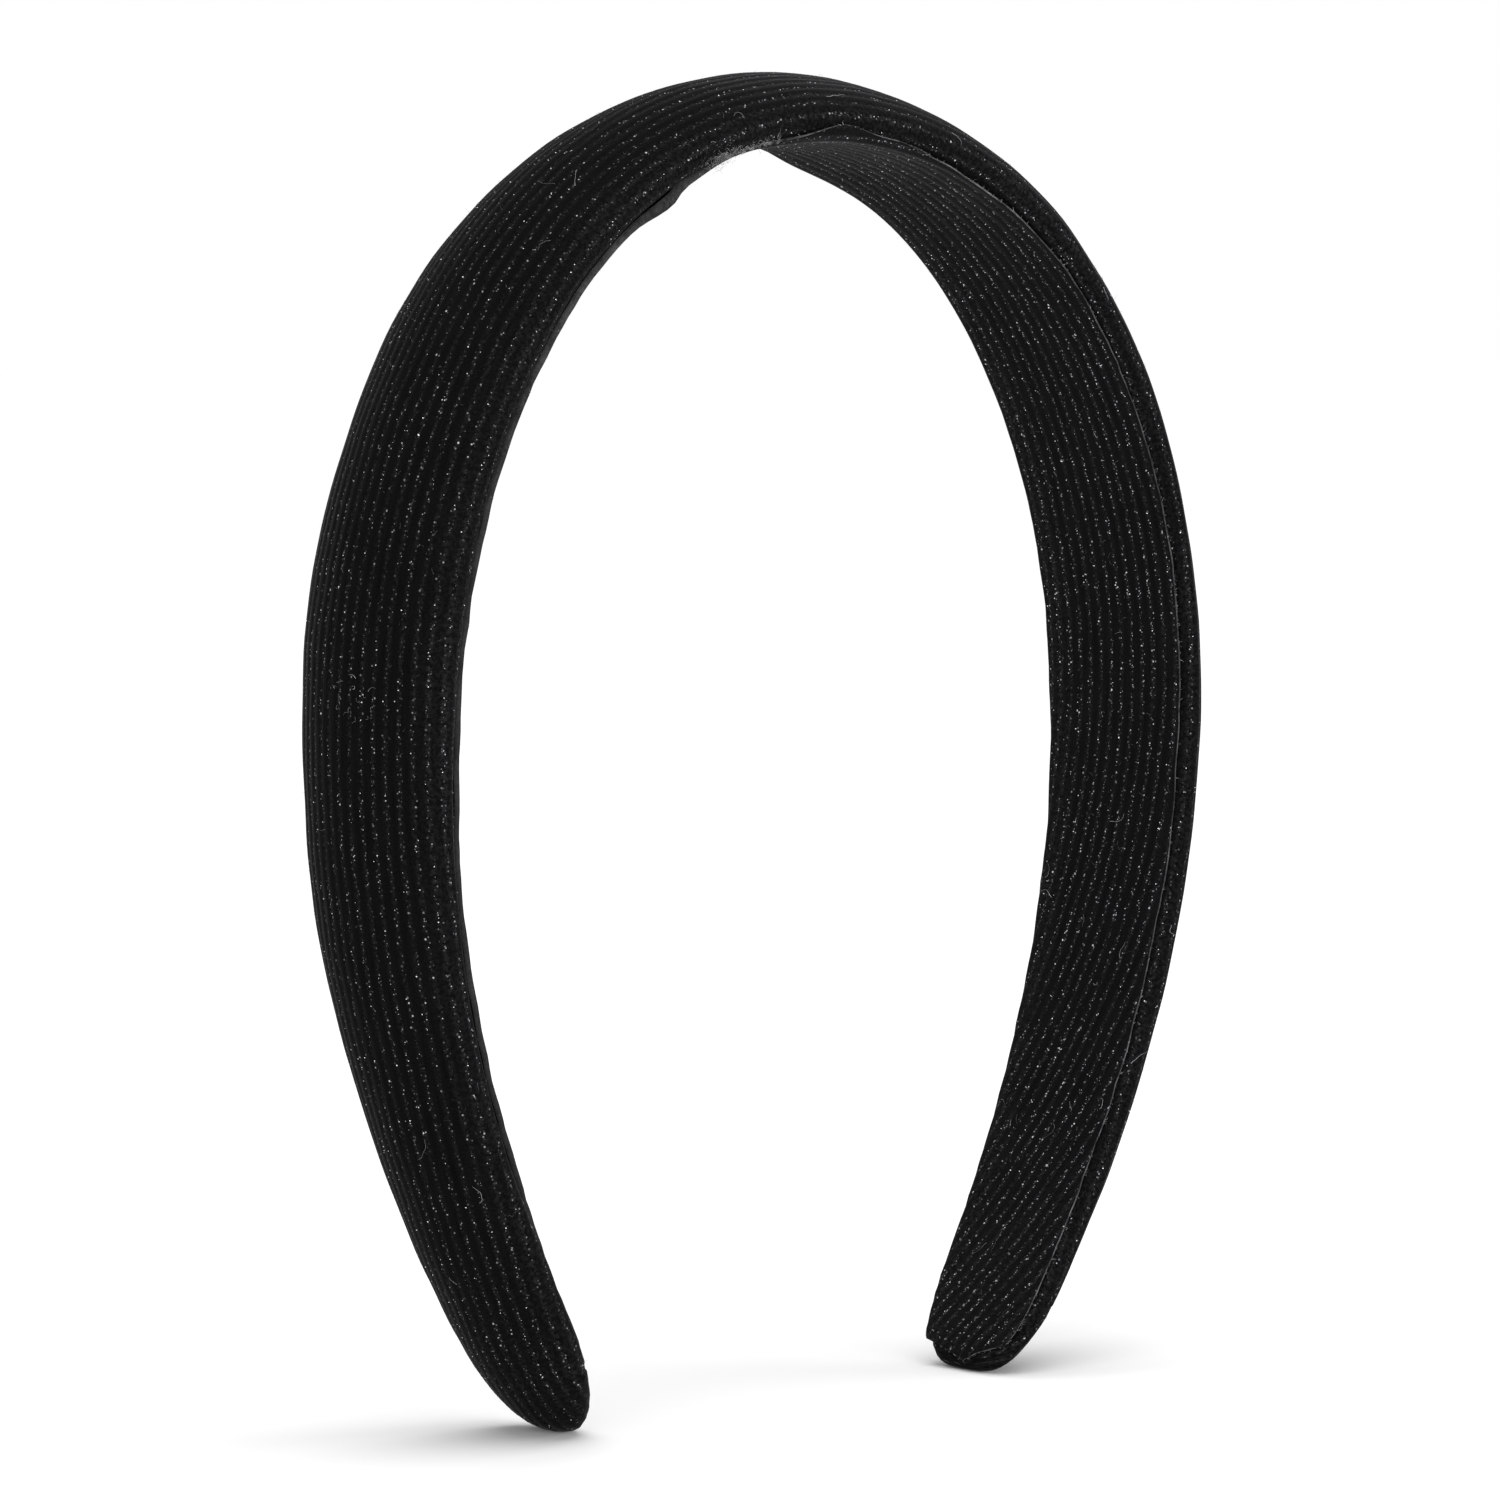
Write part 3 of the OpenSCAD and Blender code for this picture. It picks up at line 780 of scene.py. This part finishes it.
class HEADBAND_OT_foam(Operator):
    """Foam pad: the CAD pad with its edges softened and a slightly uneven skin"""
    bl_idname = "headband.foam"
    bl_label = "Foam pad"

    def execute(self, context):
        hoop = Hoop(*scene_settings(context)[:2])
        bm = bmesh.new()
        bm.from_mesh(bpy.data.objects["foam_pad"].data)
        bmesh.ops.remove_doubles(bm, verts=bm.verts, dist=MERGE)
        bmesh.ops.recalc_face_normals(bm, faces=bm.faces)
        bmesh.ops.smooth_vert(bm, verts=bm.verts, factor=0.25,
                              use_axis_x=True, use_axis_y=True, use_axis_z=True)
        bm.normal_update()
        for vert in bm.verts:
            vert.co -= vert.normal * (0.06 + 0.05 * noise.noise(vert.co / (4 * MM))) * MM
            if vert.co.x < 0 and vert.co.z < TIP_ZONE * MM:
                s = hoop.half - vert.co.z / MM / TIP_SLOPE
                vert.co.y *= hoop.plan(-s, -1 if vert.co.y < 0 else 1) / max(hoop.plan(s), 0.05)
        for face in bm.faces:
            face.smooth = True
        foam = solid_material("Open-cell foam", (0.72, 0.69, 0.6), (0.86, 0.84, 0.76), 3200.0, 0.9, 0.0003)
        pad = to_object(bm, "foam_core", [foam])
        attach(pad, "root")
        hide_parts("foam_pad")
        return {"FINISHED"}


class HEADBAND_OT_cover(Operator):
    """Velvet cover: a ribbed sheet laid over the pad, turned under at its edges and closed at the tips"""
    bl_idname = "headband.cover"
    bl_label = "Velvet cover"

    def execute(self, context):
        settings, cloth = scene_settings(context)[:2]
        hoop = Hoop(settings, cloth)
        columns = COVER_COLUMNS
        rows_at = stations(hoop.half, ROW_STEP, END_ROWS)
        rows = len(rows_at) - 1
        bm, where = flat_cloth(columns, rows)
        points, cloth_uv, ribbed, rubbed_and_sheen = {}, {}, {}, {}
        share = np.linspace(-1, 1, columns + 1)
        widest = 0.0
        for r, s in enumerate(rows_at):
            open_share = ease(hoop.plan(s) * 1.6)
            for side in (-1, 1):
                y, v = hoop.cover_half(s, side)
                total = float(np.hypot(np.diff(y), np.diff(v)).sum())
                widest = max(widest, total)
                py, pv, ny, nv = along_path(y, v, np.maximum(share * side, 0) * total)
                rolled = hoop.edge_y(s, side) - hoop.roll_w(s, side)
                for k in range(columns + 1):
                    if share[k] * side < 0:
                        continue
                    u = share[k] * total
                    shown = ease(py[k] - rolled) if pv[k] < WIDEST_V else 1.0
                    shift = cover_wave(s, u)
                    shift -= groove(u - cover_drift(s), cloth.pitch, cloth.groove)
                    shift *= open_share * shown
                    points[(k, r)] = hoop.place(s, side * (py[k] + ny[k] * shift), pv[k] + nv[k] * shift)
                    cloth_uv[(k, r)] = ((u - cover_drift(s)) * MM, s * MM)
                    ribbed[(k, r)] = ease((hoop.half - abs(s)) / 9.0 - 0.1) * (0.35 + 0.65 * shown)
                    rubbed_and_sheen[(k, r)] = cover_wear_and_sheen(hoop, s, share[k])
        note_value(bm, where, "rib", ribbed)
        note_value(bm, where, "wear_and_sheen", rubbed_and_sheen)
        lay_cloth(bm, where, points, cloth_uv)
        face_outward(bm, hoop.place(0, 0, settings.crown_h), Vector((0, 0, 1)))
        pile = velvet("Ribbed velvet cover", cloth, 2.0, 1.0, 0.5, 0.75, True)
        back = fibre_material("Velvet backing", (0.02, 0.02, 0.021), (0.06, 0.06, 0.062))
        cover = to_object(bm, "velvet_cover", [pile, back])
        wall(cover, cloth.thickness, 1)
        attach(cover, "root")
        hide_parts("outer_cover")
        return {"FINISHED"}


class HEADBAND_OT_lining(Operator):
    """Lining: a ribbed strip on the inner face with a cut edge and a blunt point at each end"""
    bl_idname = "headband.lining"
    bl_label = "Velvet lining"

    def execute(self, context):
        settings, cloth = scene_settings(context)[:2]
        hoop = Hoop(settings, cloth)
        columns = LINING_COLUMNS
        end = hoop.half - LINING_SHORT
        rows_at = [s for s in stations(hoop.half, ROW_STEP, END_ROWS) if abs(s) < end - 0.4]
        rows_at = [-end] + rows_at + [end]
        rows = len(rows_at) - 1
        bm, where = flat_cloth(columns, rows)
        points, cloth_uv, pale, rubbed_and_sheen = {}, {}, {}, {}
        for r, s in enumerate(rows_at):
            for k in range(columns + 1):
                cut_end = s > 0 and (rows - r < 2 or s > hoop.half - 7.0 and k < 3)
                pale[(k, r)] = max(edge_pale_and_painted_light(s) if k < columns / 2 else 0.4, 0.9 if cut_end else 0)
                c = 2 * k / columns - 1
                rubbed_and_sheen[(k, r)] = lining_wear_and_sheen(hoop, s, c)
                point, normal, along, u, at = lining_point(hoop, cloth, s, c)
                points[(k, r)] = point
                cloth_uv[(k, r)] = (u * MM, at * MM)
        note_value(bm, where, "pale", pale)
        note_value(bm, where, "wear_and_sheen", rubbed_and_sheen)
        lay_cloth(bm, where, points, cloth_uv)
        body = bm.verts.layers.deform.verify()
        for vert in bm.verts:
            k, r = where[vert.index]
            c = abs(2 * k / columns - 1)
            last = min(r, rows - r)
            edge = max(ease((c - 0.9) / 0.1), 1 - 0.25 * last)
            lump = 0.45 * bump(rows_at[r], -29.0, 4.5) * ease((c - 0.8) / 0.2) if k < columns / 2 else 0.0
            wanted = 0.55 - 0.4 * ease((rows_at[r] + 25.0) / 20.0) + lump
            vert[body][0] = 0.4 + (wanted - 0.4) * edge
        face_outward(bm, hoop.place(0, 0, hoop.lining_v), Vector((0, 0, -1)))
        pile = velvet("Ribbed velvet lining", cloth, 9.0, 1.45, 0.95, 1.1, False)
        lining = to_object(bm, "velvet_lining", [pile, raw_edge_material(cloth)])
        wall(lining, cloth.thickness * 2.2, 1, "Thin cut edge")
        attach(lining, "root")
        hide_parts("inner_lining")
        return {"FINISHED"}


def add_flake(bm, place, normal, along, radius, rng):
    """One flat five-sided flake, tipped a little out of the surface."""
    tilt = Matrix.Rotation(rng.uniform(-0.6, 0.6), 4, along.normalized())
    up = tilt @ normal.normalized()
    turn = up.to_track_quat("Z", "X").to_matrix().to_4x4()
    spin = Matrix.Rotation(rng.uniform(0, 6.28), 4, "Z")
    bmesh.ops.create_circle(bm, cap_ends=True, segments=5, radius=radius * MM,
                            matrix=Matrix.Translation(place + normal * 0.06 * MM) @ turn @ spin)


class HEADBAND_OT_glitter(Operator):
    """Glitter: the brightest bits of yarn that stand out of the grooves"""
    bl_idname = "headband.glitter"
    bl_label = "Glitter flakes"

    def execute(self, context):
        settings, cloth, trim = scene_settings(context)
        hoop = Hoop(settings, cloth)
        rng = random.Random(11)
        film = flake_material()
        bm = bmesh.new()
        for _ in range(trim.flakes_cover):
            s = rng.uniform(-1, 1) * (hoop.half - 3.0)
            y, v = hoop.cover_half(s, 1)
            reach = float(np.hypot(np.diff(y), np.diff(v)).sum()) - 5.0
            row = round(rng.uniform(-reach, reach) / cloth.pitch)
            u = row * cloth.pitch + cover_drift(s) + rng.gauss(0, 0.19)
            if abs(u) > reach:
                continue
            place, normal, along = cover_point(hoop, cloth, s, u)
            add_flake(bm, place, normal, along, trim.flake_r * rng.uniform(0.6, 1.25), rng)
        flakes = to_object(bm, "cover_glitter", [film])
        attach(flakes, "root")
        bm = bmesh.new()
        for _ in range(trim.flakes_lining):
            s = rng.uniform(-1, 1) * (hoop.half - LINING_SHORT - 1.0)
            half = lining_reach(hoop, s, -1)
            row = round((rng.uniform(-half, half) - lining_drift(s)) / cloth.pitch)
            u = row * cloth.pitch + lining_drift(s) + rng.gauss(0, 0.16)
            if abs(u) > half - 0.4:
                continue
            place, normal, along, u2, at = lining_point(hoop, cloth, s, u / half)
            add_flake(bm, place, normal, along, trim.flake_r * rng.uniform(0.6, 1.3), rng)
        flakes = to_object(bm, "lining_glitter", [film])
        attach(flakes, "root")
        return {"FINISHED"}


def add_fibre(bm, start, heading, up, length, width, curl, rng, segments=5):
    """A thin ribbon that leaves start along heading and curls as it goes."""
    made = bmesh.ops.create_grid(bm, x_segments=segments, y_segments=1, size=0.5)["verts"]
    aside = up.cross(heading).normalized()
    spots = []
    place, turn = start.copy(), 0.0
    for k in range(segments + 1):
        spots.append((place.copy(), turn))
        turn += curl / segments + rng.uniform(-0.45, 0.45)
        step = heading * math.cos(turn) + aside * math.sin(turn)
        place = place + (step + up * rng.uniform(-0.15, 0.2)) * (length * MM / segments)
    for vert in made:
        k = round((vert.co.x + 0.5) * segments)
        spot, turn = spots[k]
        across = aside * math.cos(turn) - heading * math.sin(turn)
        taper = 1.0 - 0.6 * k / segments
        vert.co = spot + (across * vert.co.y * 2 + up * (vert.co.y * 0.8)) * (width * MM * 0.5 * taper)


def lying_heading(along, normal, rng):
    """A random direction flat on the surface."""
    heading = (along * rng.uniform(-1, 1) + Vector((0, rng.uniform(-1, 1), 0))).normalized()
    return (heading - normal * heading.dot(normal)).normalized()


class HEADBAND_OT_fibres(Operator):
    """Frayed ends along the lining's cut edge, and stray lint on the pile"""
    bl_idname = "headband.fibres"
    bl_label = "Frayed edge and lint"

    def execute(self, context):
        settings, cloth, trim = scene_settings(context)
        hoop = Hoop(settings, cloth)
        rng = random.Random(5)
        bm = bmesh.new()
        end = hoop.half - LINING_SHORT - 0.3
        for n in range(trim.edge_hairs):
            side = -1 if rng.random() < 0.6 else 1
            s = rng.uniform(-end, end)
            if rng.random() > edge_pale_and_painted_light(s) + 0.1:
                continue
            place, normal, along, u, at = lining_point(hoop, cloth, s, side * 0.995, deep=False)
            heading = (Vector((0, side * rng.uniform(0.1, 0.7), 0)) + along * rng.uniform(-1, 1)
                       + normal * rng.uniform(-0.8, 0.1)).normalized()
            start = place - normal * rng.uniform(0.0, 0.3) * MM
            add_fibre(bm, start, heading, normal, rng.uniform(0.2, 0.6), FINE_HAIR,
                      rng.uniform(-2.0, 2.0), rng, 3)
        for n in range(trim.tuft_hairs):
            s = rng.gauss(-19.4, 1.5) if n % 4 else rng.uniform(-18.0, -10.0)
            place, normal, along, u, at = lining_point(hoop, cloth, s, -1.0, deep=False)
            rise = max(rng.gauss(0.5, 0.5), -0.3) * (1.3 if s < -16.5 else 0.35)
            start = place + hoop.axes(s)[1] * rise * MM + Vector((0, -0.35 - 0.15 * max(rise, 0), 0)) * MM
            heading = (hoop.axes(s)[1] * rng.uniform(0.1, 1.0) + along * rng.uniform(-0.9, 0.5)
                       + Vector((0, rng.uniform(-0.5, 0.0), 0))).normalized()
            add_fibre(bm, start, heading, Vector((0, -1, 0)), rng.uniform(0.25, 1.0), FINE_HAIR,
                      rng.uniform(-1.5, 1.5), rng, 4)
        for side in (-1, 1):
            for n in range(45):
                c = rng.uniform(-1, 1)
                place, normal, along, u, at = lining_point(hoop, cloth, side * (end + 0.25), c, deep=False)
                heading = (along * side * rng.uniform(0.3, 1) + Vector((0, rng.uniform(-1, 1), 0))
                           + normal * rng.uniform(-0.6, 0.3)).normalized()
                start = place - normal * rng.uniform(0.0, 0.5) * MM
                add_fibre(bm, start, heading, normal, rng.uniform(0.15, 0.4), FINE_HAIR,
                          rng.uniform(-2, 2), rng, 3)
        thread = fibre_material("Frayed backing", (0.06, 0.06, 0.062), (0.5, 0.5, 0.51))
        frayed = to_object(bm, "cut_edge_fibres", [thread])
        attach(frayed, "root")
        bm = bmesh.new()
        for n in range(trim.lint):
            if n % 2:
                s, u = rng.uniform(-185, 185), rng.uniform(-15, 15)
                place, normal, along = cover_point(hoop, cloth, s, u)
            else:
                s, c = rng.uniform(-183, 183), rng.uniform(-0.95, 0.95)
                place, normal, along, u, at = lining_point(hoop, cloth, s, c)
            heading = lying_heading(along, normal, rng)
            add_fibre(bm, place + normal * 0.12 * MM, heading, normal, rng.uniform(0.9, 3.2), 0.05,
                      rng.choice((-1, 1)) * rng.uniform(0.2, 2.6), rng, 9)
        for n in range(LINT_CLUMP):
            s, u = rng.gauss(-98.5, 1.4), rng.gauss(-1.5, 1.5)
            place, normal, along = cover_point(hoop, cloth, s, u)
            heading = lying_heading(along, normal, rng)
            add_fibre(bm, place + normal * 0.1 * MM, heading, normal, rng.uniform(0.4, 1.4), 0.045,
                      rng.choice((-1, 1)) * rng.uniform(0.5, 4.0), rng, 5)
        lint = to_object(bm, "lint", [fibre_material("Lint", (0.06, 0.06, 0.065), (0.36, 0.36, 0.37))])
        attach(lint, "root")
        bm = bmesh.new()
        for n in range(trim.down):
            if n % 2:
                s, u = rng.uniform(-188, 188), rng.uniform(-16, 16)
                if soft_noise(s, u, 9.0, 2.2) < rng.uniform(-0.5, 0.4):
                    continue
                place, normal, along = cover_point(hoop, cloth, s, u)
            else:
                s, c = rng.uniform(-187, 187), rng.uniform(-0.97, 0.97)
                if soft_noise(s, c * 12.0, 9.0, 7.2) < rng.uniform(-0.5, 0.4):
                    continue
                place, normal, along, u, at = lining_point(hoop, cloth, s, c)
            heading = (along * rng.uniform(-1, 1) + Vector((0, rng.uniform(-1, 1), 0))
                       + normal * rng.uniform(0.0, 0.6)).normalized()
            add_fibre(bm, place + normal * 0.05 * MM, heading, normal, rng.uniform(0.25, 0.9), FINE_HAIR,
                      rng.uniform(-3.0, 3.0), rng, 3)
        fluff = fibre_material("Pile down", (0.02, 0.02, 0.021), (0.13, 0.13, 0.135))
        down = to_object(bm, "pile_down", [fluff])
        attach(down, "root")
        return {"FINISHED"}


class HEADBAND_OT_inner_finishes(Operator):
    """Finishes of the band and adhesives inside, which keep their CAD shapes"""
    bl_idname = "headband.inner_finishes"
    bl_label = "Band and adhesives"

    def execute(self, context):
        band = solid_material("Moulded plastic", (0.012, 0.012, 0.013), (0.022, 0.022, 0.024),
                              1400.0, 0.42, 0.00004)
        tape = solid_material("Adhesive film", (0.66, 0.63, 0.55), (0.8, 0.78, 0.7), 900.0, 0.5, 0.00005)
        melt = solid_material("Hot-melt bead", (0.6, 0.55, 0.4), (0.78, 0.73, 0.58), 600.0, 0.35, 0.0001)
        for node, finish in (("spring_band", band), ("pad_tape", tape), ("front_glue_line", melt),
                             ("rear_glue_line", melt), ("lining_glue", melt)):
            mesh = bpy.data.objects[node].data
            mesh.materials.clear()
            mesh.materials.append(finish)
        return {"FINISHED"}


class HEADBAND_OT_stage(Operator):
    """Plain pale floor, soft studio light and the camera"""
    bl_idname = "headband.stage"
    bl_label = "Stage"

    def execute(self, context):
        scene = context.scene
        view = scene.stage
        bm = bmesh.new()
        bmesh.ops.create_grid(bm, x_segments=8, y_segments=8, size=6.0)
        m, tree, shader = material("Pale floor", 0.9)
        tone = grain(tree, object_place(tree), 0.6, 2.0)
        pale = mix_colour(tree, tone, (0.93, 0.93, 0.93), (0.95, 0.95, 0.95))
        tree.links.new(pale, shader.inputs["Base Color"])
        shader.inputs["Specular IOR Level"].default_value = 0.0
        floor = to_object(bm, "floor", [m])

        world = bpy.data.worlds.new("Soft surround")
        world.use_nodes = True
        sky = world.node_tree
        sky.nodes["Background"].inputs[0].default_value = (1, 1, 1, 1)
        seen = sky.nodes.new("ShaderNodeLightPath").outputs["Is Camera Ray"]
        level = maths(sky, "MULTIPLY_ADD", seen, 1.0 - view.surround, view.surround)
        sky.links.new(level, sky.nodes["Background"].inputs[1])
        scene.world = world
        scene.view_settings.view_transform = "Standard"
        sun = bpy.data.lights.new("Soft overhead", "SUN")
        sun.energy = view.overhead
        sun.angle = math.radians(62.0)
        lamp = bpy.data.objects.new("Soft overhead", sun)
        lamp.rotation_euler = (math.radians(4.0), 0, 0)
        scene.collection.objects.link(lamp)
        for name, at, size, power in (
                ("Left window", (-1.45, -0.75, 0.34), (1.1, 0.5), 11.0),
                ("Front window", (0.1, -1.7, 0.34), (1.2, 0.5), 9.0),
                ("Right window", (1.45, -0.85, 0.34), (1.1, 0.5), 12.0)):
            light = bpy.data.lights.new(name, "AREA")
            light.shape = "RECTANGLE"
            light.size, light.size_y = size
            light.energy = power
            lamp = bpy.data.objects.new(name, light)
            lamp.location = at
            aim = Vector((0, 0, 0.1)) - Vector(at)
            lamp.rotation_euler = aim.to_track_quat("-Z", "Y").to_euler()
            lamp.visible_camera = False
            scene.collection.objects.link(lamp)

        a, e = view.azimuth, view.elevation
        back = Vector((math.sin(a) * math.cos(e), -math.cos(a) * math.cos(e), math.sin(e)))
        right = Vector((math.cos(a), math.sin(a), 0))
        data = bpy.data.cameras.new("Camera")
        data.lens = view.lens
        data.sensor_width = 36.0
        camera = bpy.data.objects.new("Camera", data)
        aim = Vector((0, 0, view.aim_z)) + right * view.aside
        camera.location = aim + back * view.distance
        camera.rotation_euler = (-back).to_track_quat("-Z", "Y").to_euler()
        scene.collection.objects.link(camera)
        scene.camera = camera
        return {"FINISHED"}


class HEADBAND_PT_panel(Panel):
    """Lists the headband's pieces in the 3D view's sidebar"""
    bl_label = "Headband"
    bl_idname = "HEADBAND_PT_panel"
    bl_space_type = "VIEW_3D"
    bl_region_type = "UI"
    bl_category = "Headband"

    def draw(self, context):
        for step in STEPS:
            self.layout.operator(step.bl_idname)


STEPS = (HEADBAND_OT_foam, HEADBAND_OT_cover, HEADBAND_OT_lining, HEADBAND_OT_glitter,
         HEADBAND_OT_fibres, HEADBAND_OT_inner_finishes, HEADBAND_OT_stage)
GROUPS = (("hoop", HoopSettings), ("cloth", ClothSettings), ("trim", TrimSettings), ("stage", StageSettings))


def register():
    for name, group in GROUPS:
        bpy.utils.register_class(group)
        setattr(bpy.types.Scene, name, PointerProperty(type=group))
    for step in STEPS:
        bpy.utils.register_class(step)
    bpy.utils.register_class(HEADBAND_PT_panel)


def unregister():
    bpy.utils.unregister_class(HEADBAND_PT_panel)
    for step in reversed(STEPS):
        bpy.utils.unregister_class(step)
    for name, group in reversed(GROUPS):
        delattr(bpy.types.Scene, name)
        bpy.utils.unregister_class(group)


def main():
    register()
    bpy.ops.headband.foam()
    bpy.ops.headband.cover()
    bpy.ops.headband.lining()
    bpy.ops.headband.glitter()
    bpy.ops.headband.fibres()
    bpy.ops.headband.inner_finishes()
    bpy.ops.headband.stage()


if __name__ == "__main__":
    main()
